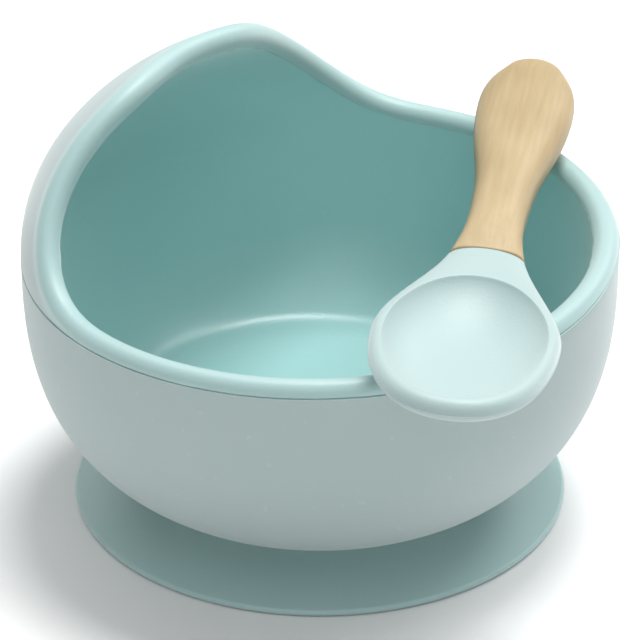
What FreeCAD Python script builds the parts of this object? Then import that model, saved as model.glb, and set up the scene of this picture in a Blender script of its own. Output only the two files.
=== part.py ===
import FreeCAD, Part

import math
import os

# Silicone suction bowl with a raised scoop hood, its suction base, and the
# matching spoon that lies across the rim.  Millimetres, +Z up, origin at the
# centre of the suction ring, on the table.

# --- bowl shell ---------------------------------------------------------------
BOWL_RADIUS = 58.9          # widest outer radius, at the mould's parting plane
PARTING_Z = 55.0            # height of that plane
WALL = 5.0                  # wall thickness; the rim is a full round on it
BELLY_DEPTH = 53.0          # vertical half-axis of the outer belly
BELLY_POWER = 2.77          # superellipse power of the belly
HOOD_DEPTH = 42.0           # vertical half-axis of the ellipsoid above the plane
BOWL_BOTTOM_Z = 8.0         # flat underside, bonded to the suction base
FLOOR_Z = 15.0              # flat inside floor

# Height where the outer wall ends and the rim's round begins.
RIM_LOW_Z = 55.0            # along the open front
RIM_TILT = 1.05             # the rim slopes up from left to right
SIDE_LIFT = 1.4             # extra height on the right-hand side
SIDE_AZIMUTH = 28.0
SIDE_WIDTH = 69.0
HOOD_RISE = 33.6            # extra height of the scoop hood
HOOD_AZIMUTH = 142.6
HOOD_WIDTH = 51.3
HOOD_POWER = 4.36

# --- suction base -------------------------------------------------------------
BASE_RADIUS = 49.2
LIP_THICKNESS = 1.4
NECK_RADIUS = 33.0
SEAL_INNER_RADIUS = 44.0    # inside edge of the flat sealing ring
CUP_DEPTH = 6.0             # height of the suction dome under the base
FLARE_LIP = (7.5, 1.2)      # how far in and up the flare leaves the lip
FLARE_NECK = (1.0, 2.7)     # and how far out and up it reaches the neck

# --- spoon --------------------------------------------------------------------
SPOON_ANGLE = 8.65          # its long axis, clockwise from +Y
SPOON_ROLL = 3.7            # turned about that axis, left edge up
SPOON_TIP = (23.2, -81.85)  # tip of the head, seen from above
SPOON_Z = 65.0              # its mid-plane
HEAD_LENGTH = 59.4          # tip to the joint with the handle
HEAD_RIM = 2.4              # height of the head's rim above the mid-plane
HEAD_DEPTH = 6.4            # depth of the head's back below the mid-plane
HEAD_HALF_WIDTH = 17.9      # at its widest
HEAD_WIDEST = 28.0          # distance of that place from the tip
HEAD_POWER = 2.28           # superellipse power of the round end
HEAD_BEAD = 2.6             # the rim rises to full height over this distance
BEAD_POWER = 0.7            # squares off the head's upper edge
NECK_HALF_WIDTH = 7.35
NECK_HALF_THICKNESS = 2.5
NECK_SLANT = 0.7            # how much the outline still narrows at the joint
HOLLOW_CENTRE = 25.5
HOLLOW_LENGTH = 23.0        # half-axes of the hollow that holds the food
HOLLOW_WIDTH = 15.6
HOLLOW_DEPTH = 6.4
TENON_RADIUS = 2.0
TENON_LENGTH = 9.0
SOCKET_CLEARANCE = 0.05

# Distance from the joint, half width and half thickness along the handle.
HANDLE_SHAPE = [
    (0.0, NECK_HALF_WIDTH, 2.7), (8.0, 6.0, 3.8), (20.0, 5.7, 4.6), (32.0, 6.4, 4.9),
    (46.0, 8.5, 5.1), (60.0, 9.7, 5.2), (70.0, 8.7, 5.0), (77.0, 5.8, 4.2),
]
HANDLE_LENGTH = 82.6
HANDLE_POWER = 2.5          # superellipse power of the handle's cross-section

SEAM_AZIMUTH = -38          # where the bowl's skin starts and ends
BOWL_SECTIONS = 90          # sections round the bowl
WALL_STEPS = 34             # points along each side of the wall
WALL_CROWDING = 1.5         # draws those points towards the rim
RIM_STEPS = 12              # and points over the rim
HEAD_STATIONS = 30          # sections along the spoon's head
TIP_CROWDING = 1.8          # draws them towards its tip
HEAD_STEPS = 48             # points round each of them
HANDLE_STATIONS = 22        # sections along the handle, and along its round end
END_STATIONS = 8
HANDLE_STEPS = 40
SEW_TOLERANCE = 0.01


def bell(azimuth, centre, width, power):
    """Smooth bump of height 1 around one azimuth."""
    away = abs((azimuth - centre + 180.0) % 360.0 - 180.0)
    return math.exp(-((away / width) ** power))


def rim_height(azimuth):
    tilt = RIM_TILT * math.cos(math.radians(azimuth))
    side = SIDE_LIFT * bell(azimuth, SIDE_AZIMUTH, SIDE_WIDTH, 2.0)
    hood = HOOD_RISE * bell(azimuth, HOOD_AZIMUTH, HOOD_WIDTH, HOOD_POWER)
    return RIM_LOW_Z + tilt + side + hood


def wall_shape(angle):
    """Vertical half-axis and power of the outer wall above or below the plane."""
    if angle < 0:
        return BELLY_DEPTH, BELLY_POWER
    return HOOD_DEPTH, 2.0


def wall_point(angle):
    """Outer wall (r, z) seen at an angle from the parting plane's centre."""
    depth, power = wall_shape(angle)
    c, s = math.cos(angle), abs(math.sin(angle))
    reach = ((c / BOWL_RADIUS) ** power + (s / depth) ** power) ** (-1.0 / power)
    return reach * math.cos(angle), PARTING_Z + reach * math.sin(angle)


def wall_normal(angle):
    """Outward normal (r, z) of the outer wall."""
    depth, power = wall_shape(angle)
    r, z = wall_point(angle)
    nr = r ** (power - 1) / BOWL_RADIUS ** power
    nz = math.copysign(abs(z - PARTING_Z) ** (power - 1) / depth ** power, angle)
    size = math.hypot(nr, nz)
    return nr / size, nz / size


def inner_point(angle):
    r, z = wall_point(angle)
    nr, nz = wall_normal(angle)
    return r - WALL * nr, z - WALL * nz


def solve(func, target, low, high):
    """Angle where an increasing function reaches its target."""
    for _ in range(60):
        middle = (low + high) / 2
        if func(middle) < target:
            low = middle
        else:
            high = middle
    return (low + high) / 2


def rim_angle(azimuth):
    rise = (rim_height(azimuth) - PARTING_Z) / HOOD_DEPTH
    return math.atan2(HOOD_DEPTH * rise, BOWL_RADIUS * math.sqrt(1 - rise * rise))


def rim_stretch(azimuth):
    """Keeps the rim round where it climbs: the section is cut on a slant there."""
    step = 1.0
    ahead = wall_point(rim_angle(azimuth + step))
    behind = wall_point(rim_angle(azimuth - step))
    run = wall_point(rim_angle(azimuth))[0] * math.radians(2 * step)
    climb = math.hypot(ahead[0] - behind[0], ahead[1] - behind[1])
    return math.hypot(1.0, climb / run)


def bowl_section(azimuth, foot, floor_edge):
    """One upright section: up the outer wall, over the rim, down to the floor."""
    top = rim_angle(azimuth)
    points = []
    for i in range(WALL_STEPS):
        share = 1 - (1 - i / WALL_STEPS) ** WALL_CROWDING
        points.append(wall_point(foot + (top - foot) * share))
    r, z = wall_point(top)
    nr, nz = wall_normal(top)
    half = WALL / 2
    reach = half * rim_stretch(azimuth)
    for i in range(RIM_STEPS + 1):
        turn = math.pi * i / RIM_STEPS
        across, along = half * math.cos(turn), reach * math.sin(turn)
        points.append((r + nr * (across - half) - nz * along,
                       z + nz * (across - half) + nr * along))
    for i in range(1, WALL_STEPS + 1):
        share = (i / WALL_STEPS) ** WALL_CROWDING
        points.append(inner_point(top + (floor_edge - top) * share))
    a = math.radians(azimuth)
    return [FreeCAD.Vector(r * math.cos(a), r * math.sin(a), z) for r, z in points]


def skin(rings):
    """Smooth closed tube: a cubic spline whose control net is a list of rings."""
    along, around = len(rings), len(rings[0])
    surface = Part.BSplineSurface()
    surface.buildFromPolesMultsKnots(
        rings,
        [4] + [1] * (along - 4) + [4], [1] * (around + 1),
        list(range(along - 2)), list(range(around + 1)),
        False, True, 3, 3)
    return surface.toShape()


def ring_solid(rings, open_ends):
    """Solid inside a skin, with a flat cap on each end that is open."""
    skin_face = skin(rings)
    faces = [skin_face]
    for is_end in open_ends:
        faces += [Part.Face(Part.Wire([e])) for e in skin_face.Edges if is_end(e)]
    sewn = Part.Compound(faces)
    sewn.sewShape(SEW_TOLERANCE)
    solid = Part.Solid(sewn.Shells[0])
    if solid.Volume < 0:
        solid.reverse()
    return solid


def level_edge(axis, level):
    """Test for an edge that lies flat at one place along an axis (0 X, 1 Y, 2 Z)."""
    def test(edge):
        if edge.Degenerated:
            return False
        return all(abs(p[axis] - level) < 1e-3 for p in edge.discretize(9))
    return test


def bowl_shell():
    foot = solve(lambda a: wall_point(a)[1], BOWL_BOTTOM_Z, -1.5, 0.0)
    floor_edge = solve(lambda a: inner_point(a)[1], FLOOR_Z, -1.5, -0.1)
    sections = [bowl_section(SEAM_AZIMUTH + 360 * i / BOWL_SECTIONS, foot, floor_edge)
                for i in range(BOWL_SECTIONS)]
    rings = [list(ring) for ring in zip(*sections)]
    return ring_solid(rings, [level_edge(2, BOWL_BOTTOM_Z), level_edge(2, FLOOR_Z)])


def arc(start, through, end):
    return Part.Arc(*[FreeCAD.Vector(r, 0, z) for r, z in (start, through, end)]).toShape()


def line(start, end):
    return Part.makeLine(FreeCAD.Vector(start[0], 0, start[1]),
                         FreeCAD.Vector(end[0], 0, end[1]))


def suction_base():
    """Turned disc: sealing ring, shallow dome, rounded lip and trumpet neck."""
    lip = LIP_THICKNESS / 2
    lip_r = BASE_RADIUS - lip
    dome_radius = (SEAL_INNER_RADIUS ** 2 + CUP_DEPTH ** 2) / (2 * CUP_DEPTH)
    half_angle = math.asin(SEAL_INNER_RADIUS / dome_radius) / 2
    dome_mid = (dome_radius * math.sin(half_angle),
                CUP_DEPTH - dome_radius * (1 - math.cos(half_angle)))
    flare = [(lip_r, LIP_THICKNESS), (lip_r - FLARE_LIP[0], LIP_THICKNESS + FLARE_LIP[1]),
             (NECK_RADIUS + FLARE_NECK[0], LIP_THICKNESS + FLARE_NECK[1]),
             (NECK_RADIUS, BOWL_BOTTOM_Z)]
    trumpet = Part.BezierCurve()
    trumpet.setPoles([FreeCAD.Vector(r, 0, z) for r, z in flare])
    outline = Part.Wire([
        line((0, CUP_DEPTH), (0, BOWL_BOTTOM_Z)),
        line((0, BOWL_BOTTOM_Z), (NECK_RADIUS, BOWL_BOTTOM_Z)),
        trumpet.toShape(),
        arc((lip_r, LIP_THICKNESS), (BASE_RADIUS, lip), (lip_r, 0)),
        line((lip_r, 0), (SEAL_INNER_RADIUS, 0)),
        arc((SEAL_INNER_RADIUS, 0), dome_mid, (0, CUP_DEPTH)),
    ])
    return Part.Face(outline).revolve(FreeCAD.Vector(0, 0, 0), FreeCAD.Vector(0, 0, 1), 360)


def smooth_step(x):
    return x * x * (3 - 2 * x)


def head_half_width(along):
    """Egg outline of the head, running straight into the neck."""
    if along <= HEAD_WIDEST:
        left = 1 - along / HEAD_WIDEST
        return HEAD_HALF_WIDTH * (1 - left ** HEAD_POWER) ** (1 / HEAD_POWER)
    share = (along - HEAD_WIDEST) / (HEAD_LENGTH - HEAD_WIDEST)
    narrowing = smooth_step(share) - NECK_SLANT * share ** 2 * (1 - share)
    return HEAD_HALF_WIDTH + (NECK_HALF_WIDTH - HEAD_HALF_WIDTH) * narrowing


def quarter(along, length):
    """Rises from 0 to 1 over a length, as a quarter ellipse does."""
    left = max(0.0, 1 - along / length)
    return math.sqrt(1 - left * left)


def head_section(along, steps):
    """Cross-section of the head: flat-topped above the mid-plane, deep below."""
    width = head_half_width(along)
    past = max(0.0, (along - HEAD_WIDEST) / (HEAD_LENGTH - HEAD_WIDEST))
    share = smooth_step(min(1.0, past))
    top = HEAD_RIM + (NECK_HALF_THICKNESS - HEAD_RIM) * share
    top *= quarter(along, HEAD_BEAD)
    back = HEAD_DEPTH + (NECK_HALF_THICKNESS - HEAD_DEPTH) * share
    back *= quarter(along, HEAD_WIDEST)
    bead = BEAD_POWER + (1 - BEAD_POWER) * share
    points = []
    for i in range(steps):
        turn = 2 * math.pi * i / steps
        c, s = math.cos(turn), math.sin(turn)
        if s > 0:
            points.append((math.copysign(width * abs(c) ** bead, c), top * s ** bead))
        else:
            points.append((width * c, back * s))
    return points


def spoon_place(shape):
    """Turns and moves a shape from the spoon's own frame (+Y along it)."""
    shape.rotate(FreeCAD.Vector(0, 0, 0), FreeCAD.Vector(0, 1, 0), SPOON_ROLL)
    shape.rotate(FreeCAD.Vector(0, 0, 0), FreeCAD.Vector(0, 0, 1), -SPOON_ANGLE)
    shape.translate(FreeCAD.Vector(SPOON_TIP[0], SPOON_TIP[1], SPOON_Z))
    return shape


def spoon_head():
    stations = [HEAD_LENGTH * (i / HEAD_STATIONS) ** TIP_CROWDING
                for i in range(HEAD_STATIONS + 1)]
    rows = [[FreeCAD.Vector(x, along, z) for x, z in head_section(along, HEAD_STEPS)]
            for along in stations]
    body = ring_solid(rows, [level_edge(1, HEAD_LENGTH)])

    hollow = Part.makeSphere(1.0)
    stretch = FreeCAD.Matrix()
    stretch.scale(HOLLOW_WIDTH, HOLLOW_LENGTH, HOLLOW_DEPTH)
    hollow = hollow.transformGeometry(stretch)
    hollow.translate(FreeCAD.Vector(0, HOLLOW_CENTRE, HEAD_RIM))
    socket = Part.makeCylinder(TENON_RADIUS + SOCKET_CLEARANCE, TENON_LENGTH + SOCKET_CLEARANCE,
                               FreeCAD.Vector(0, HEAD_LENGTH, 0), FreeCAD.Vector(0, -1, 0))
    return spoon_place(body.cut(hollow).cut(socket))


def spline_value(knots, along, column):
    """Smooth curve through the listed half sizes."""
    curve = Part.BSplineCurve()
    curve.interpolate(Points=[FreeCAD.Vector(k[0], k[column], 0) for k in knots])
    low, high = curve.FirstParameter, curve.LastParameter
    for _ in range(50):
        middle = (low + high) / 2
        if curve.value(middle).x < along:
            low = middle
        else:
            high = middle
    return curve.value((low + high) / 2).y


def handle_half_sizes(along):
    last = HANDLE_SHAPE[-1]
    if along <= last[0]:
        return spline_value(HANDLE_SHAPE, along, 1), spline_value(HANDLE_SHAPE, along, 2)
    share = (HANDLE_LENGTH - along) / (HANDLE_LENGTH - last[0])
    closing = math.sqrt(max(0.0, share))
    return last[1] * closing, last[2] * closing


def squared(share):
    """Turns the cosine or sine of a circle into that of a superellipse."""
    return math.copysign(abs(share) ** (2 / HANDLE_POWER), share)


def spoon_handle():
    shaped = HANDLE_SHAPE[-1][0]
    stations = [shaped * i / HANDLE_STATIONS for i in range(HANDLE_STATIONS + 1)]
    stations += [HANDLE_LENGTH - (HANDLE_LENGTH - shaped) * (1 - i / END_STATIONS) ** 2
                 for i in range(1, END_STATIONS + 1)]
    rows = []
    for along in stations:
        width, thick = handle_half_sizes(along)
        turns = [2 * math.pi * i / HANDLE_STEPS for i in range(HANDLE_STEPS)]
        rows.append([FreeCAD.Vector(width * squared(math.cos(t)), HEAD_LENGTH + along,
                                    thick * squared(math.sin(t))) for t in turns])
    wood = ring_solid(rows, [level_edge(1, HEAD_LENGTH)])
    tenon = Part.makeCylinder(TENON_RADIUS, TENON_LENGTH + 1.0,
                              FreeCAD.Vector(0, HEAD_LENGTH + 1.0, 0), FreeCAD.Vector(0, -1, 0))
    return spoon_place(wood.fuse(tenon))


def main():
    os.makedirs("parts", exist_ok=True)
    nodes = {
        "bowl_shell": bowl_shell,
        "suction_base": suction_base,
        "spoon_head": spoon_head,
        "spoon_handle": spoon_handle,
    }
    for name, build in nodes.items():
        shape = build()
        box = shape.BoundBox
        print(f"{name}: valid {shape.isValid()}, solids {len(shape.Solids)}, "
              f"volume {shape.Volume / 1000:.1f} cm3, "
              f"x {box.XMin:.1f}..{box.XMax:.1f}, y {box.YMin:.1f}..{box.YMax:.1f}, "
              f"z {box.ZMin:.1f}..{box.ZMax:.1f}")
        shape.exportStep(f"parts/{name}.step")


main()
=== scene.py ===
import math

import bmesh
import bpy
import numpy as np
from mathutils import Matrix, Vector


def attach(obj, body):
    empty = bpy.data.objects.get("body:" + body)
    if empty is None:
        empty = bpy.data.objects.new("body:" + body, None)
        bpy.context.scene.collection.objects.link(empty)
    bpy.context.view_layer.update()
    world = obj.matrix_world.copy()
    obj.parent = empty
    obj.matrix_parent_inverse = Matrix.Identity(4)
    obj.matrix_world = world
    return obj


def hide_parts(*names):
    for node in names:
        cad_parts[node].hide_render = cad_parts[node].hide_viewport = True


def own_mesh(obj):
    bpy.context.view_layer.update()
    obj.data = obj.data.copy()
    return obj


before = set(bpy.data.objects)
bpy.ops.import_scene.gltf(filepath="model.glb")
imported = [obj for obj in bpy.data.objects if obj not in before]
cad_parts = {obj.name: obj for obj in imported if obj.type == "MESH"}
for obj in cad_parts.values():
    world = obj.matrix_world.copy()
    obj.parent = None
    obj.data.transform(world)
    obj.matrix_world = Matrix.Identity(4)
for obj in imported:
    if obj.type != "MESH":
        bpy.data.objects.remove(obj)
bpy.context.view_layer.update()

# A silicone suction bowl with a scoop hood and the spoon that lies across it.
# The shapes below are written in millimetres and become metres in make_mesh.
MM = 0.001

# --- bowl: the same driving dimensions as the CAD model -------------------------
BOWL_RADIUS = 58.9          # widest outer radius, at the parting plane
PARTING_Z = 55.0
WALL = 5.0
BELLY_DEPTH = 53.0          # upright half-axis below the parting plane
BELLY_POWER = 2.77
HOOD_DEPTH = 42.0           # and above it, where the curve is an ellipse
HOOD_CURVE_POWER = 2.0
BOWL_BOTTOM_Z = 8.0
FLOOR_Z = 15.0
RIM_LOW_Z = 55.0
RIM_TILT = 1.05             # the rim slopes up from left to right
SIDE_LIFT, SIDE_AZIMUTH, SIDE_WIDTH = 1.4, 28.0, 69.0
HOOD_RISE, HOOD_AZIMUTH, HOOD_WIDTH, HOOD_POWER = 33.6, 142.6, 51.3, 4.36

# --- bowl: what only its visible skin has ------------------------------------------
BOWL_COLUMNS = 720
BELLY_STEPS = 64            # rings from the underside to the moulding line
BELLY_CROWDING = 1.35       # draws them towards that line
WALL_STEPS = 46             # steps from the line to the rim's crest
FINE_REACH = 12.0           # these crowd together within this distance of the crest
INNER_STEPS = 72            # rings down the inner wall
FLASH_Z = 54.75             # height of the moulding line round the outside
FLASH_LIFT, FLASH_WIDTH = 1.4, 36.0     # it rises on the right
FLASH_HEIGHT = 0.20         # ridge that the mould leaves outside, with a groove above it
FLASH_HALF = 0.11           # its half width
FLASH_PROFILE = [           # place across the ridge, in half widths, and share of its height
    (-1.3, 0.25), (-0.8, 0.95), (0.0, 1.0), (0.35, 0.3), (0.6, -1.1), (1.3, -1.2), (1.8, -0.3),
]
FLASH_REACH = 2.6           # half widths from the ridge to the plain wall
FLASH_UNEVEN, FLASH_WAVES = 0.16, (5, 11, 17, 29, 43)   # its height varies along it
# How much fainter the ridge is round the back and the hood, and where.
FLASH_FADE, FADE_AZIMUTH, FADE_WIDTH, FADE_POWER = 0.8, HOOD_AZIMUTH - 20, 75.0, 6.0
LIP_FLASH = 0.26            # ragged line along the inside edge of the rim
LIP_PROFILE = [(-0.14, 0.1), (0.0, 1.0), (0.16, 0.25)]  # mm down the wall, share of its height
LIP_DROP = 0.35             # the plain inner wall starts this far below the line
LIP_MEAN, LIP_SWING, LIP_LIMITS = 0.45, 0.42, (0.05, 1.6)       # shares of its height
LIP_WAVES = (7, 19, 37, 61, 83, 97)
FLOOR_FILLET = 5.0
FLOOR_RADIUS = 45.0         # rough, only sets where the fillet starts
FOOT_ROUND = 1.4            # small round where the underside meets the wall
FOOT_TURN = 0.03            # angle up the wall over which it ends, in radians
RIM_MATT_AND_SHEEN = 0.5            # 0 satin as inside, 1 matt and painted greyer as a sheen, as outside
MATT_AND_SHEEN_FADE = 3.0           # mm below the rim over which it becomes matt and painted greyer

# --- suction base ----------------------------------------------------------------
BASE_RADIUS = 49.2
LIP_THICKNESS = 1.4
NECK_RADIUS = 33.0
FLARE = [(48.5, 1.4), (41.0, 2.6), (34.0, 4.1), (33.0, 8.0)]    # control points, lip to neck
SEAL_INNER_RADIUS = 44.0    # inside edge of the flat sealing ring
CUP_DEPTH = 6.0             # height of the suction dome
BASE_COLUMNS = 360

# --- spoon -----------------------------------------------------------------------
SPOON_ANGLE = 8.65          # its long axis, clockwise from +Y
SPOON_ROLL = 3.7            # turned about that axis, left edge up
SPOON_TIP = (23.2, -81.85)  # tip of the head, seen from above
SPOON_Z = 65.0              # its mid-plane
HEAD_LENGTH = 59.4          # tip to the joint with the handle
HEAD_RIM = 2.4              # height of the rim above the mid-plane
HEAD_DEPTH = 6.4            # depth of the back below it
HEAD_HALF_WIDTH, HEAD_WIDEST, HEAD_POWER = 17.9, 28.0, 2.28
HEAD_BEAD = 2.5             # width of the rim's round
HEAD_FLASH = 0.16           # parting line round the head's edge
HEAD_FLASH_PROFILE = [      # height, and share of how far it stands out
    (0.10, 0.35), (0.07, 1.0), (-0.07, 1.0), (-0.12, 0.3),
]
NECK_HALF_WIDTH, NECK_HALF_THICKNESS, NECK_SLANT = 7.35, 2.5, 0.7
HOLLOW_CENTRE, HOLLOW_LENGTH, HOLLOW_WIDTH, HOLLOW_DEPTH = 25.5, 23.0, 15.6, 6.4
HOLLOW_POWER, HOLLOW_FULLNESS = 2.3, 0.75
HOLLOW_RISE = 40.0          # how steeply the hollow's surface leaves the head at its edge
HOLLOW_EDGE = 0.35          # softness of the edge between the hollow and the bead
BEAD_RINGS = [              # rings from the head's outline (0) to the hollow's edge (1)
    0, 0.008, 0.02, 0.04, 0.07, 0.11, 0.16, 0.22, 0.29, 0.37, 0.45, 0.53, 0.61, 0.69, 0.77,
    0.84, 0.90, 0.94, 0.97, 0.99,
]
HOLLOW_RINGS = [            # and from the hollow's edge (1) to its middle (0)
    1.0, 0.99, 0.975, 0.955, 0.93, 0.9, 0.86, 0.82, 0.77, 0.71, 0.65, 0.58, 0.5, 0.42, 0.33,
    0.24, 0.15, 0.07,
]
# Distance from the joint, half width and half thickness along the handle.
HANDLE_SHAPE = [
    (0.0, NECK_HALF_WIDTH, 2.7), (8.0, 6.0, 3.8), (20.0, 5.7, 4.6), (32.0, 6.4, 4.9),
    (46.0, 8.5, 5.1), (60.0, 9.7, 5.2), (70.0, 8.7, 5.0), (77.0, 5.8, 4.2),
]
HANDLE_LENGTH = 82.6
HANDLE_POWER = 2.5
HANDLE_COLUMNS = 96
HANDLE_END = [              # inset and distance of the rings round its edge at the joint
    (2.5, 0.0), (0.35, 0.0), (0.12, 0.08), (0.0, 0.3),
]
END_WIDTH_POWER, END_THICKNESS_POWER = 0.6, 0.5     # how blunt the far end is

# --- camera ----------------------------------------------------------------------
CAMERA_ELEVATION = 29.75
CAMERA_DISTANCE = 1165.4
CAMERA_AIM = (0.0, 0.0, 38.4)
CAMERA_LENS = 330.4
SENSOR = 36.0
CLIP = (0.05, 20.0)         # in metres


def make_mesh(name, points, faces, body, node, marks=None):
    """Object from points in mm, riding on a body in place of its CAD node."""
    mesh = bpy.data.meshes.new(name)
    mesh.from_pydata([tuple(p) for p in np.asarray(points) * MM], [], faces)
    for label, values in (marks or {}).items():
        mesh.attributes.new(label, "FLOAT", "POINT").data.foreach_set(
            "value", np.asarray(values, np.float32))
    bm = bmesh.new()
    bm.from_mesh(mesh)
    bmesh.ops.recalc_face_normals(bm, faces=bm.faces)
    bm.to_mesh(mesh)
    bm.free()
    mesh.polygons.foreach_set("use_smooth", [True] * len(mesh.polygons))
    obj = bpy.data.objects.new(name, mesh)
    bpy.context.scene.collection.objects.link(obj)
    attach(obj, body)
    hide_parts(node)
    return obj


def ring_faces(rings, around):
    """Quads between rings of points, closed at both ends by a fan to one point."""
    faces = [(0, 1 + (i + 1) % around, 1 + i) for i in range(around)]
    start = 1
    for k in range(rings - 1):
        a, b = start + k * around, start + (k + 1) * around
        for i in range(around):
            j = (i + 1) % around
            faces.append((a + i, a + j, b + j, b + i))
    a = start + (rings - 1) * around
    tip = a + around
    faces += [(a + i, a + (i + 1) % around, tip) for i in range(around)]
    return faces


# --- bowl shape ------------------------------------------------------------------
def wall_curve(angle):
    """Half-axis and power of the wall's rounded curve, below and above the parting plane."""
    below = angle < 0
    depth = np.where(below, BELLY_DEPTH, HOOD_DEPTH)
    return depth, np.where(below, BELLY_POWER, HOOD_CURVE_POWER)


def wall_point(angle):
    """Radius and height of the outer wall, at an angle from the parting plane."""
    angle = np.asarray(angle, float)
    depth, power = wall_curve(angle)
    c, s = np.cos(angle), np.abs(np.sin(angle))
    reach = ((c / BOWL_RADIUS) ** power + (s / depth) ** power) ** (-1 / power)
    return reach * np.cos(angle), PARTING_Z + reach * np.sin(angle)


def wall_normal(angle):
    """Outward direction (r, z) of the outer wall."""
    angle = np.asarray(angle, float)
    depth, power = wall_curve(angle)
    r, z = wall_point(angle)
    nr = r ** (power - 1) / BOWL_RADIUS ** power
    nz = np.sign(angle) * np.abs(z - PARTING_Z) ** (power - 1) / depth ** power
    size = np.hypot(nr, nz)
    return nr / size, nz / size


def inner_point(angle):
    """Radius and height of the inner wall, one wall thickness inside."""
    r, z = wall_point(angle)
    nr, nz = wall_normal(angle)
    return r - WALL * nr, z - WALL * nz


def bell(azimuth, centre, width, power):
    """Smooth bump round the bowl: 1 at the centre, about a third at its width, then 0."""
    away = np.abs((azimuth - centre + 180.0) % 360.0 - 180.0)
    return np.exp(-((away / width) ** power))


def rim_angle(azimuth):
    """Where the wall ends, which sets the outline of the rim and hood."""
    height = (RIM_TILT * np.cos(np.radians(azimuth))
              + SIDE_LIFT * bell(azimuth, SIDE_AZIMUTH, SIDE_WIDTH, 2.0)
              + HOOD_RISE * bell(azimuth, HOOD_AZIMUTH, HOOD_WIDTH, HOOD_POWER)
              + RIM_LOW_Z - PARTING_Z)
    rise = height / HOOD_DEPTH
    return np.arctan2(HOOD_DEPTH * rise, BOWL_RADIUS * np.sqrt(1 - rise * rise))


def flash_angle(azimuth):
    """Where the moulding line runs round the wall."""
    height = (FLASH_Z - PARTING_Z + RIM_TILT * np.cos(np.radians(azimuth))
              + FLASH_LIFT * bell(azimuth, 0.0, FLASH_WIDTH, 2.0))
    return np.arctan2(height, BOWL_RADIUS)


def rim_stretch(azimuth):
    """How much longer the rim's round is when cut upright across a sloping rim."""
    ahead = wall_point(rim_angle(azimuth + 1.0))
    behind = wall_point(rim_angle(azimuth - 1.0))
    run = wall_point(rim_angle(azimuth))[0] * math.radians(2.0)
    climb = np.hypot(ahead[0] - behind[0], ahead[1] - behind[1])
    return np.hypot(1.0, climb / run)


def ripple(azimuth, waves, seed):
    """Smooth noise round the bowl, made of a few sine waves."""
    rng = np.random.default_rng(seed)
    total = np.zeros_like(azimuth)
    for n in waves:
        total += math.sqrt(0.5) * rng.uniform(0.5, 1.0) * np.sin(
            np.radians(n * azimuth) + rng.uniform(0, 2 * math.pi))
    return total


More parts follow.
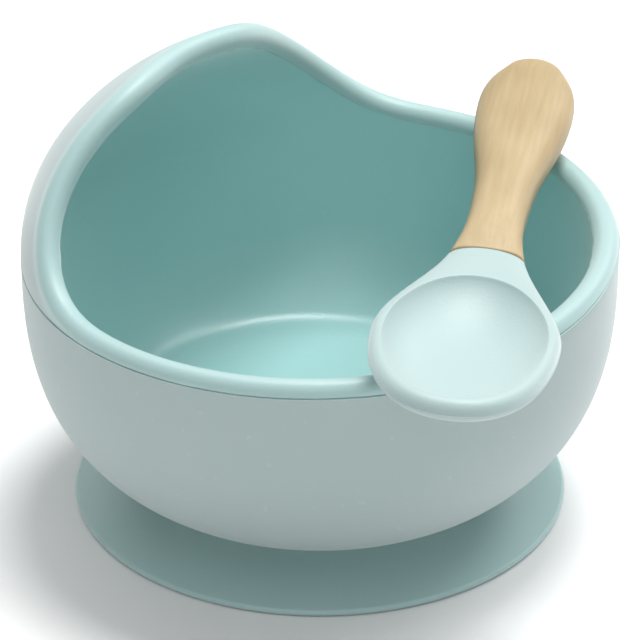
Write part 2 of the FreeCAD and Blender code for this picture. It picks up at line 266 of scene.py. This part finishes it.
def bowl_rings():
    """Rings of (r, z, mark) from the middle of the underside to that of the floor."""
    az = np.linspace(0, 360, BOWL_COLUMNS, endpoint=False)
    top = rim_angle(az)
    stretch = rim_stretch(az)
    angles = np.linspace(-1.5, 0.0, 3001)
    foot = np.interp(BOWL_BOTTOM_Z, wall_point(angles)[1], angles)
    floor_angle = np.interp(FLOOR_Z, inner_point(angles)[1], angles)
    flat = np.ones_like(az)
    rings = []

    # The third value marks the outside: matt, and painted greyer as a sheen.
    def ring(r, z, outside):
        rings.append((r * flat, z * flat, outside * flat))

    # underside, with a small round where the wall starts
    foot_r = float(wall_point(foot)[0])
    for r in np.linspace(foot_r - FOOT_ROUND, 6.0, 8)[::-1]:
        ring(r, BOWL_BOTTOM_Z, 1.0)
    start = foot + FOOT_TURN
    r1, z1 = wall_point(start)
    for t in np.linspace(0, 1, 7)[1:-1]:
        ring((1 - t) ** 2 * (foot_r - FOOT_ROUND) + 2 * t * (1 - t) * foot_r + t * t * r1,
             (1 - t * t) * BOWL_BOTTOM_Z + t * t * z1, 1.0)

    # belly, up to the moulding line
    seam = flash_angle(az)
    step = FLASH_HALF / BOWL_RADIUS
    for t in np.linspace(0, 1, BELLY_STEPS):
        share = 1 - (1 - t) ** BELLY_CROWDING
        r, z = wall_point(start + (seam - FLASH_REACH * step - start) * share)
        ring(r, z, 1.0)
    flash = FLASH_HEIGHT * (1 + FLASH_UNEVEN * ripple(az, FLASH_WAVES, seed=4))
    flash *= 1 - FLASH_FADE * bell(az, FADE_AZIMUTH, FADE_WIDTH, FADE_POWER)
    for share, out in FLASH_PROFILE:
        r, z = wall_point(seam + share * step)
        nr, nz = wall_normal(seam + share * step)
        ring(r + nr * flash * out, z + nz * flash * out, 1.0 if share < 0 else RIM_MATT_AND_SHEEN)

    # from the moulding line over the hood's back, or straight into the rim's round
    half = WALL / 2
    table = np.linspace(-0.05, 1.2, 4000)
    tr, tz = wall_point(table)
    length = np.concatenate([[0], np.cumsum(np.hypot(np.diff(tr), np.diff(tz)))])
    wall_run = np.interp(top, table, length)
    round_run = half * (1 + stretch) / 2 * math.pi / 2
    total = wall_run + round_run - np.interp(seam + FLASH_REACH * step, table, length)
    near = FINE_REACH * (1 - np.exp(-total / FINE_REACH))
    top_r, top_z = wall_point(top)
    top_nr, top_nz = wall_normal(top)

    def over_rim(turn):
        across, along = half * np.cos(turn), half * stretch * np.sin(turn)
        return (top_r + top_nr * (across - half) - top_nz * along,
                top_z + top_nz * (across - half) + top_nr * along)

    for k in range(WALL_STEPS, -1, -1):
        t = k / WALL_STEPS
        back = near * t + (total - near) * t ** 3
        run = wall_run + round_run - back
        on_wall = run < wall_run
        wr, wz = wall_point(np.interp(run, length, table))
        rr, rz = over_rim(np.clip((run - wall_run) / round_run, 0, 1) * math.pi / 2)
        ring(np.where(on_wall, wr, rr), np.where(on_wall, wz, rz),
             RIM_MATT_AND_SHEEN + (1 - RIM_MATT_AND_SHEEN) * np.clip((wall_run - run) / MATT_AND_SHEEN_FADE, 0, 1))
    for turn in np.linspace(math.pi / 2, math.pi, 16)[1:-1]:
        r, z = over_rim(turn)
        ring(r, z, RIM_MATT_AND_SHEEN)

    # inside edge of the rim, with its ragged flash
    uneven = LIP_MEAN + LIP_SWING * ripple(az, LIP_WAVES, seed=9)
    ragged = LIP_FLASH * np.clip(uneven, *LIP_LIMITS)
    for back, out in LIP_PROFILE:
        r, z = inner_point(top)
        r, z = r + top_nz * back, z - top_nr * back
        ring(r - top_nr * ragged * out, z - top_nz * ragged * out, RIM_MATT_AND_SHEEN)

    # inner wall, floor fillet, floor
    begin = top - LIP_DROP / BOWL_RADIUS
    end = floor_angle + 0.5 * FLOOR_FILLET / FLOOR_RADIUS
    for t in np.linspace(0, 1, INNER_STEPS):
        r, z = inner_point(begin + (end - begin) * t)
        ring(r, z, 0.0)
    fr, fz = inner_point(end)
    corner = float(inner_point(floor_angle)[0])
    for t in np.linspace(0, 1, 8)[1:]:
        ring((1 - t) ** 2 * fr + 2 * t * (1 - t) * corner + t * t * (corner - FLOOR_FILLET),
             (1 - t) ** 2 * fz + (1 - (1 - t) ** 2) * FLOOR_Z, 0.0)
    for r in np.linspace(corner - FLOOR_FILLET, 3.0, 18)[1:]:
        ring(r, FLOOR_Z, 0.0)
    return az, rings


def build_bowl():
    """One closed skin of rings round the upright axis."""
    az, rings = bowl_rings()
    c, s = np.cos(np.radians(az)), np.sin(np.radians(az))
    points = [[(0.0, 0.0, BOWL_BOTTOM_Z)]]
    marks = [[1.0]]
    for r, z, mark in rings:
        points.append(np.stack([r * c, r * s, z], axis=1))
        marks.append(mark)
    points.append([(0.0, 0.0, FLOOR_Z)])
    marks.append([0.0])
    faces = ring_faces(len(rings), len(az))
    return make_mesh("bowl_skin", np.concatenate(points), faces, "bowl_body", "bowl_shell",
                     {"outside": np.concatenate(marks)})


# --- suction base ----------------------------------------------------------------
def build_base():
    """Turned profile: top disc, trumpet flare, rounded lip, sealing ring, dome."""
    lip = LIP_THICKNESS / 2
    lip_r = BASE_RADIUS - lip
    profile = [(r, BOWL_BOTTOM_Z) for r in np.linspace(4.0, NECK_RADIUS - 0.4, 8)]
    flare = np.array(FLARE[::-1])
    for t in np.linspace(0.02, 1, 40):
        w = np.array([(1 - t) ** 3, 3 * t * (1 - t) ** 2, 3 * t * t * (1 - t), t ** 3])
        profile.append(tuple(w @ flare))
    for turn in np.linspace(math.pi / 2, -math.pi / 2, 14)[1:]:
        profile.append((lip_r + lip * math.cos(turn), lip + lip * math.sin(turn)))
    profile += [(r, 0.0) for r in np.linspace(lip_r, SEAL_INNER_RADIUS, 6)[1:]]
    sphere = (SEAL_INNER_RADIUS ** 2 + CUP_DEPTH ** 2) / (2 * CUP_DEPTH)
    for r in np.linspace(SEAL_INNER_RADIUS, 4.0, 30)[1:]:
        profile.append((r, CUP_DEPTH - sphere + math.sqrt(sphere ** 2 - r * r)))
    around = BASE_COLUMNS
    turns = np.radians(np.arange(around) * 360.0 / around)
    points = [[(0.0, 0.0, BOWL_BOTTOM_Z)]]
    for r, z in profile:
        points.append(np.stack([r * np.cos(turns), r * np.sin(turns),
                                np.full(around, z)], axis=1))
    points.append([(0.0, 0.0, CUP_DEPTH)])
    faces = ring_faces(len(profile), around)
    base = make_mesh("base_skin", np.concatenate(points), faces, "suction_body",
                     "suction_base")
    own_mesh(base)
    return base


# --- spoon -----------------------------------------------------------------------
def spoon_place(points):
    """From the spoon's own frame (+Y along it, tip at 0) to the frame of the part."""
    a, roll = math.radians(-SPOON_ANGLE), math.radians(SPOON_ROLL)
    x, y, z = np.asarray(points, float).T
    x, z = x * math.cos(roll) + z * math.sin(roll), z * math.cos(roll) - x * math.sin(roll)
    return np.stack([x * math.cos(a) - y * math.sin(a) + SPOON_TIP[0],
                     x * math.sin(a) + y * math.cos(a) + SPOON_TIP[1],
                     z + SPOON_Z], axis=1)


def smooth_step(x):
    """From 0 to 1, level at both ends."""
    x = np.clip(x, 0, 1)
    return x * x * (3 - 2 * x)


def head_half_width(along):
    """Half width of the head: a full round end, then a taper to the neck."""
    left = np.clip(1 - along / HEAD_WIDEST, 0, 1)
    round_end = HEAD_HALF_WIDTH * (1 - left ** HEAD_POWER) ** (1 / HEAD_POWER)
    share = np.clip((along - HEAD_WIDEST) / (HEAD_LENGTH - HEAD_WIDEST), 0, 1)
    narrowing = smooth_step(share) - NECK_SLANT * share ** 2 * (1 - share)
    tapering = HEAD_HALF_WIDTH + (NECK_HALF_WIDTH - HEAD_HALF_WIDTH) * narrowing
    return np.where(along < HEAD_WIDEST, round_end, tapering)


def head_outline():
    """Closed outline of the head in even steps, and whether a point is on the joint."""
    along = HEAD_LENGTH * (1 - np.cos(np.linspace(0, math.pi / 2, 600)))
    width = head_half_width(along)
    run = np.concatenate([[0], np.cumsum(np.hypot(np.diff(along), np.diff(width)))])
    even = np.linspace(0, run[-1], 181)
    side = np.stack([np.interp(even, run, width), np.interp(even, run, along)], axis=1)
    across = np.linspace(NECK_HALF_WIDTH, -NECK_HALF_WIDTH, 31)[1:-1]
    joint = np.stack([across, np.full(len(across), HEAD_LENGTH)], axis=1)
    left = side[:0:-1] * [-1, 1]
    outline = np.concatenate([side, joint, left])
    at_joint = np.zeros(len(outline), bool)
    at_joint[len(side):len(side) + len(joint)] = True
    return outline, at_joint


def distance_to_side(points, outline, at_joint):
    """Distance from the head's side outline, in mm, ignoring the joint's straight end."""
    dense = outline[~at_joint]
    out = np.empty(len(points))
    batch = 2000
    for i in range(0, len(points), batch):
        gap = points[i:i + batch, None, :] - dense[None, :, :]
        out[i:i + batch] = np.sqrt((gap ** 2).sum(-1)).min(1)
    return out


def head_top(x, y, inset):
    """Height of the upper face: round bead, hollow and rounded neck."""
    share = smooth_step((y - HEAD_WIDEST) / (HEAD_LENGTH - HEAD_WIDEST))
    crest = HEAD_RIM + (NECK_HALF_THICKNESS - HEAD_RIM) * share
    bead = HEAD_BEAD + (NECK_HALF_WIDTH - HEAD_BEAD) * share
    left = np.clip(1 - inset / bead, 0, 1)
    skin = crest * np.sqrt(np.clip(1 - left ** 2, 0, 1))
    reach = np.hypot(x / HOLLOW_WIDTH, (y - HOLLOW_CENTRE) / HOLLOW_LENGTH)
    hollow = HEAD_RIM - HOLLOW_DEPTH * np.clip(1 - reach ** HOLLOW_POWER, 0, 1) ** HOLLOW_FULLNESS
    hollow += np.clip(reach - 1, 0, 1) * HOLLOW_RISE
    blend = np.clip(0.5 + 0.5 * (hollow - skin) / HOLLOW_EDGE, 0, 1)
    return hollow * (1 - blend) + skin * blend - HOLLOW_EDGE * blend * (1 - blend)


def head_back(x, y):
    """Height of the underside."""
    share = smooth_step((y - HEAD_WIDEST) / (HEAD_LENGTH - HEAD_WIDEST))
    depth = HEAD_DEPTH + (NECK_HALF_THICKNESS - HEAD_DEPTH) * share
    left = np.clip(1 - y / HEAD_WIDEST, 0, 1)
    width = np.maximum(head_half_width(y), 1e-6)
    across = np.clip(np.abs(x) / width, 0, 1)
    return -depth * np.sqrt(np.clip(1 - across ** 2, 0, 1)) * np.sqrt(1 - left ** 2)


def build_spoon_head():
    """Rings from the middle of the hollow, over the bead and round to the back."""
    outline, at_joint = head_outline()
    middle = np.array([0.0, HOLLOW_CENTRE])
    toward = middle - outline
    reach = np.hypot(outline[:, 0] / HOLLOW_WIDTH,
                     (outline[:, 1] - HOLLOW_CENTRE) / HOLLOW_LENGTH)
    edge_share = 1 - 1 / reach          # where each ray meets the edge of the hollow
    shares = [edge_share * place for place in BEAD_RINGS]
    shares += [1 - inside / reach for inside in HOLLOW_RINGS]

    top, back = [], []
    for share in shares:
        xy = outline + toward * share[:, None]
        inset = distance_to_side(xy, outline, at_joint)
        top.append(np.column_stack([xy, head_top(xy[:, 0], xy[:, 1], inset)]))
        back.append(np.column_stack([xy, head_back(xy[:, 0], xy[:, 1])]))
    out = -toward / np.linalg.norm(toward, axis=1, keepdims=True)
    out[at_joint] = 0.0
    edge = []
    for lift, push in HEAD_FLASH_PROFILE:
        xy = outline + out * HEAD_FLASH * push
        edge.append(np.column_stack([xy, np.full(len(xy), lift)]))
    rings = top[:0:-1] + edge + back[1:]
    centre_top = [[*middle, HEAD_RIM - HOLLOW_DEPTH]]
    centre_back = [[*middle, float(head_back(0.0, HOLLOW_CENTRE))]]
    points = np.concatenate([centre_top] + rings + [centre_back])
    n = len(outline)
    above_parting = len(top) - 1 + len(edge) // 2
    # The back is marked outside: matt, and painted greyer as a sheen.
    marks = np.zeros(len(points))
    marks[1 + n * above_parting:] = 1.0
    faces = ring_faces(len(rings), n)
    return make_mesh("spoon_head_skin", spoon_place(points), faces, "spoon_body",
                     "spoon_head", {"outside": marks})


def smooth_through(xs, ys, at):
    """Natural cubic spline through a few points."""
    xs, ys = np.asarray(xs, float), np.asarray(ys, float)
    n, h = len(xs), np.diff(xs)
    system, right = np.eye(n), np.zeros(n)
    for i in range(1, n - 1):
        system[i, i - 1:i + 2] = h[i - 1], 2 * (h[i - 1] + h[i]), h[i]
        right[i] = 6 * ((ys[i + 1] - ys[i]) / h[i] - (ys[i] - ys[i - 1]) / h[i - 1])
    bend = np.linalg.solve(system, right)
    k = np.clip(np.searchsorted(xs, at, side="right") - 1, 0, n - 2)
    t = at - xs[k]
    slope = (ys[k + 1] - ys[k]) / h[k] - h[k] * (2 * bend[k] + bend[k + 1]) / 6
    return ys[k] + t * slope + t * t * bend[k] / 2 + t ** 3 * (bend[k + 1] - bend[k]) / (6 * h[k])


def build_handle():
    """Rounded cross-sections along the handle, closed by a blunt end."""
    along, width, thick = np.array(HANDLE_SHAPE).T
    body = np.linspace(0.0, along[-1], 110)
    w, t = smooth_through(along, width, body), smooth_through(along, thick, body)
    turn = np.linspace(0, math.pi / 2, 22)[1:-1]
    rest = HANDLE_LENGTH - along[-1]
    end = along[-1] + rest * np.sin(turn)
    share = np.clip((HANDLE_LENGTH - end) / rest, 0, 1)
    body = np.concatenate([body, end])
    w = np.concatenate([w, w[-1] * share ** END_WIDTH_POWER])
    t = np.concatenate([t, t[-1] * share ** END_THICKNESS_POWER])
    around = HANDLE_COLUMNS
    turns = 2 * math.pi * np.arange(around) / around
    c, s = np.cos(turns), np.sin(turns)
    cx = np.sign(c) * np.abs(c) ** (2 / HANDLE_POWER)
    sz = np.sign(s) * np.abs(s) ** (2 / HANDLE_POWER)
    rings = []
    for inset, start in HANDLE_END:
        rings.append(np.stack([(w[0] - inset) * cx, np.full(around, HEAD_LENGTH + start),
                               (t[0] - inset) * sz], axis=1))
    for y, half_w, half_t in list(zip(body, w, t))[1:]:
        rings.append(np.stack([half_w * cx, np.full(around, HEAD_LENGTH + y), half_t * sz],
                              axis=1))
    points = np.concatenate([[(0.0, HEAD_LENGTH, 0.0)]] + rings
                            + [[(0.0, HEAD_LENGTH + HANDLE_LENGTH, 0.0)]])
    faces = ring_faces(len(rings), around)
    return make_mesh("handle_skin", spoon_place(points), faces, "spoon_body", "spoon_handle")


# --- materials ---------------------------------------------------------------------
class Nodes:
    """A node material under construction, round one Principled shader."""

    def __init__(self, name):
        self.material = bpy.data.materials.new(name)
        self.material.use_nodes = True
        self.tree = self.material.node_tree
        self.tree.nodes.clear()
        self.shader = self.add("ShaderNodeBsdfPrincipled")
        output = self.add("ShaderNodeOutputMaterial")
        self.tree.links.new(self.shader.outputs["BSDF"], output.inputs["Surface"])

    def add(self, kind, **settings):
        node = self.tree.nodes.new(kind)
        for key, value in settings.items():
            setattr(node, key, value)
        return node

    def link(self, source, target):
        self.tree.links.new(source, target)

    def noise(self, where, scale, detail=3.0, stretch=None, roughness=0.5):
        if stretch:
            mapping = self.add("ShaderNodeMapping")
            mapping.inputs["Scale"].default_value = stretch
            self.link(where, mapping.inputs["Vector"])
            where = mapping.outputs["Vector"]
        node = self.add("ShaderNodeTexNoise")
        node.inputs["Scale"].default_value = scale
        node.inputs["Detail"].default_value = detail
        node.inputs["Roughness"].default_value = roughness
        self.link(where, node.inputs["Vector"])
        return node.outputs["Fac"]

    def ramp(self, value, stops):
        node = self.add("ShaderNodeValToRGB")
        elements = node.color_ramp.elements
        while len(elements) < len(stops):
            elements.new(0.5)
        for element, (position, colour) in zip(elements, stops):
            element.position = position
            element.color = (*colour, 1.0)
        self.link(value, node.inputs["Fac"])
        return node.outputs["Color"]

    def mix(self, share, first, second):
        node = self.add("ShaderNodeMix", data_type="RGBA")
        for socket, value in ((node.inputs["Factor"], share), (node.inputs["A"], first),
                              (node.inputs["B"], second)):
            self.put(value, socket)
        return [o for o in node.outputs if o.type == "RGBA"][0]

    def put(self, value, socket):
        if isinstance(value, bpy.types.NodeSocket):
            self.link(value, socket)
        elif isinstance(value, tuple):
            socket.default_value = (*value, 1.0)
        else:
            socket.default_value = value

    def math(self, operation, first, second=0.0, clamp=False):
        node = self.add("ShaderNodeMath", operation=operation, use_clamp=clamp)
        self.put(first, node.inputs[0])
        self.put(second, node.inputs[1])
        return node.outputs["Value"]

    def bump(self, height, distance, strength=1.0):
        node = self.add("ShaderNodeBump")
        node.inputs["Distance"].default_value = distance
        node.inputs["Strength"].default_value = strength
        self.link(height, node.inputs["Height"])
        self.link(node.outputs["Normal"], self.shader.inputs["Normal"])


TEAL = (0.34, 0.59, 0.58)
SHEEN_GREY = (0.355, 0.45, 0.445)   # greyer, for the bowl's outside and the back of the spoon's head: painted whitish sheen on their matt face
BASE_TEAL = (0.40, 0.60, 0.59)
SPOON_TEAL = (0.365, 0.495, 0.49)
HAZE, MATT_HAZE = 0.55, 0.35    # whitish bloom of silicone, strongest at a low angle
HAZE_ROUGHNESS = 0.5
PATCH_DARK, PATCH_LIGHT, SHEEN_GREY_DARK = 0.965, 1.03, 0.97        # shades of the broad patches
SILICONE_IOR = 1.6
SILICONE_SPECKLE = 0.06     # how much the roughness varies from spot to spot
LINT, LINT_SHADE = 0.12, 1.25   # strength and paleness of the small specks


def silicone(name, colour, rough, matt_rough=None):
    """Moulded silicone: satin, and matt on its outer face if matt_rough is given, where its
    colour is also painted greyer as a whitish sheen.
    """
    m = Nodes(name)
    where = m.add("ShaderNodeTexCoord").outputs["Object"]
    broad = m.noise(where, scale=28.0, detail=2.0)
    fine = m.noise(where, scale=1500.0, detail=2.0)
    specks = m.noise(where, scale=900.0, detail=1.0)
    lint = m.ramp(m.noise(where, scale=620.0, detail=0.0),
                  [(0.80, (0, 0, 0)), (0.84, (1, 1, 1))])
    dark = tuple(v * PATCH_DARK for v in colour)
    light = tuple(min(1.0, v * PATCH_LIGHT) for v in colour)
    base = m.mix(broad, dark, light)
    if matt_rough:
        outside = m.add("ShaderNodeAttribute", attribute_name="outside").outputs["Fac"]
        # Painted sheen: the outer face's colour is mixed towards a greyer one.
        dark_sheen_grey = tuple(v * SHEEN_GREY_DARK for v in SHEEN_GREY)
        base = m.mix(outside, base, m.mix(broad, dark_sheen_grey, SHEEN_GREY))
        roughness = m.math("ADD", rough, m.math("MULTIPLY", outside, matt_rough - rough))
        haze = m.math("ADD", HAZE, m.math("MULTIPLY", outside, MATT_HAZE - HAZE))
    else:
        roughness, haze = rough, HAZE
    m.put(haze, m.shader.inputs["Sheen Weight"])
    pale = tuple(min(1, v * LINT_SHADE) for v in colour)
    base = m.mix(m.math("MULTIPLY", lint, LINT), base, pale)
    m.link(base, m.shader.inputs["Base Color"])
    uneven = m.math("MULTIPLY", m.math("SUBTRACT", specks, 0.5), SILICONE_SPECKLE)
    m.link(m.math("ADD", uneven, roughness, clamp=True), m.shader.inputs["Roughness"])
    m.shader.inputs["IOR"].default_value = SILICONE_IOR
    m.shader.inputs["Sheen Roughness"].default_value = HAZE_ROUGHNESS
    m.bump(fine, distance=0.00003)
    return m.material


def beech(name):
    """Pale beech: broad patches, fine fibres along the handle and short dark flecks."""
    m = Nodes(name)
    where = m.add("ShaderNodeTexCoord").outputs["Object"]
    turn = m.add("ShaderNodeMapping")
    turn.inputs["Rotation"].default_value = (0, 0, math.radians(SPOON_ANGLE))
    m.link(where, turn.inputs["Vector"])
    local = turn.outputs["Vector"]
    patches = m.noise(local, scale=60.0, detail=2.0, stretch=(1.0, 0.45, 1.0))
    fibres = m.noise(local, scale=900.0, detail=4.0, stretch=(1.0, 0.05, 1.0), roughness=0.6)
    flecks = m.noise(local, scale=1500.0, detail=1.0, stretch=(1.0, 0.22, 1.0))
    base = m.ramp(patches, [(0.30, (0.34, 0.25, 0.115)), (0.70, (0.52, 0.41, 0.235))])
    streaks = m.ramp(fibres, [(0.3, (0.36, 0.24, 0.11)), (0.7, (0.58, 0.46, 0.30))])
    base = m.mix(0.24, base, streaks)
    dots = m.ramp(flecks, [(0.62, (0, 0, 0)), (0.72, (1, 1, 1))])
    base = m.mix(m.math("MULTIPLY", dots, 0.18), base, (0.42, 0.25, 0.10))
    m.link(base, m.shader.inputs["Base Color"])
    m.link(m.math("ADD", m.math("MULTIPLY", fibres, 0.12), 0.44, clamp=True),
           m.shader.inputs["Roughness"])
    m.bump(fibres, distance=0.00004, strength=0.7)
    return m.material


def studio_floor(name):
    """Pale paper, very slightly uneven."""
    m = Nodes(name)
    where = m.add("ShaderNodeTexCoord").outputs["Object"]
    shades = [(0.3, (0.90, 0.90, 0.90)), (0.7, (0.92, 0.92, 0.92))]
    tone = m.ramp(m.noise(where, scale=3.0, detail=3.0), shades)
    m.link(tone, m.shader.inputs["Base Color"])
    m.shader.inputs["Roughness"].default_value = 0.9
    return m.material


def dress(obj, material):
    """Give an object one material."""
    obj.data.materials.clear()
    obj.data.materials.append(material)


# --- studio -------------------------------------------------------------------------
LIGHT_AIM = Vector((0, 0, 0.04))
FLOOR_HALF = 4.0
FLOOR_DROP = 0.0002         # keeps the floor from touching the base's flat ring


def area_light(name, direction, distance, size, power):
    """Round soft light, aimed at the bowl from a direction (azimuth, elevation)."""
    azimuth, elevation = (math.radians(v) for v in direction)
    data = bpy.data.lights.new(name, "AREA")
    data.shape = "DISK"
    data.size = size
    data.energy = power
    light = bpy.data.objects.new(name, data)
    bpy.context.scene.collection.objects.link(light)
    way = Vector((math.cos(azimuth) * math.cos(elevation),
                  math.sin(azimuth) * math.cos(elevation), math.sin(elevation)))
    light.location = LIGHT_AIM + way * distance
    light.rotation_mode = "QUATERNION"
    light.rotation_quaternion = way.to_track_quat("Z", "Y")


LIGHTS = [
    # name, (azimuth, elevation) in degrees, distance and diameter in metres, watts
    ("key_right", (22, 57), 2.4, 1.3, 14.0),
    ("top", (64, 74), 2.4, 1.0, 49.0),
    ("back_right", (52, 30), 2.6, 1.0, 13.0),
    ("back_low", (112, 36), 2.6, 2.0, 12.0),
    ("front_high", (268, 58), 2.8, 2.0, 9.0),
    ("front", (262, 20), 3.2, 2.4, 9.0),
]
WORLD = 0.33


def build_studio():
    """Pale floor, six soft lights and a little light from all round."""
    floor_mesh = bpy.data.meshes.new("studio_floor")
    bm = bmesh.new()
    bmesh.ops.create_grid(bm, x_segments=8, y_segments=8, size=FLOOR_HALF)
    bm.to_mesh(floor_mesh)
    bm.free()
    floor = bpy.data.objects.new("studio_floor", floor_mesh)
    bpy.context.scene.collection.objects.link(floor)
    floor.location.z = -FLOOR_DROP
    dress(floor, studio_floor("studio_floor"))
    for name, direction, distance, size, power in LIGHTS:
        area_light(name, direction, distance, size, power)
    world = bpy.data.worlds.new("studio")
    world.use_nodes = True
    background = world.node_tree.nodes["Background"]
    background.inputs["Color"].default_value = (1, 1, 1, 1)
    background.inputs["Strength"].default_value = WORLD
    bpy.context.scene.world = world
    bpy.context.scene.view_settings.view_transform = "Standard"


def build_camera():
    """Camera in front, raised, level and far away, with the long lens that goes with it."""
    e = math.radians(CAMERA_ELEVATION)
    forward = Vector((0, math.cos(e), -math.sin(e)))
    up = Vector((0, math.sin(e), math.cos(e)))
    right = Vector((1, 0, 0))
    data = bpy.data.cameras.new("camera")
    data.lens = CAMERA_LENS
    data.sensor_width = SENSOR
    data.clip_start, data.clip_end = CLIP
    camera = bpy.data.objects.new("camera", data)
    bpy.context.scene.collection.objects.link(camera)
    place = (Vector(CAMERA_AIM) - forward * CAMERA_DISTANCE) * MM
    camera.matrix_world = Matrix((
        (right.x, up.x, -forward.x, place.x), (right.y, up.y, -forward.y, place.y),
        (right.z, up.z, -forward.z, place.z), (0, 0, 0, 1)))
    bpy.context.scene.camera = camera


build_camera()
build_studio()
dress(build_bowl(), silicone("bowl_silicone", TEAL, 0.30, 0.66))
dress(build_base(), silicone("base_silicone", BASE_TEAL, 0.48))
dress(build_spoon_head(), silicone("spoon_silicone", SPOON_TEAL, 0.50, 0.60))
dress(build_handle(), beech("beech_wood"))
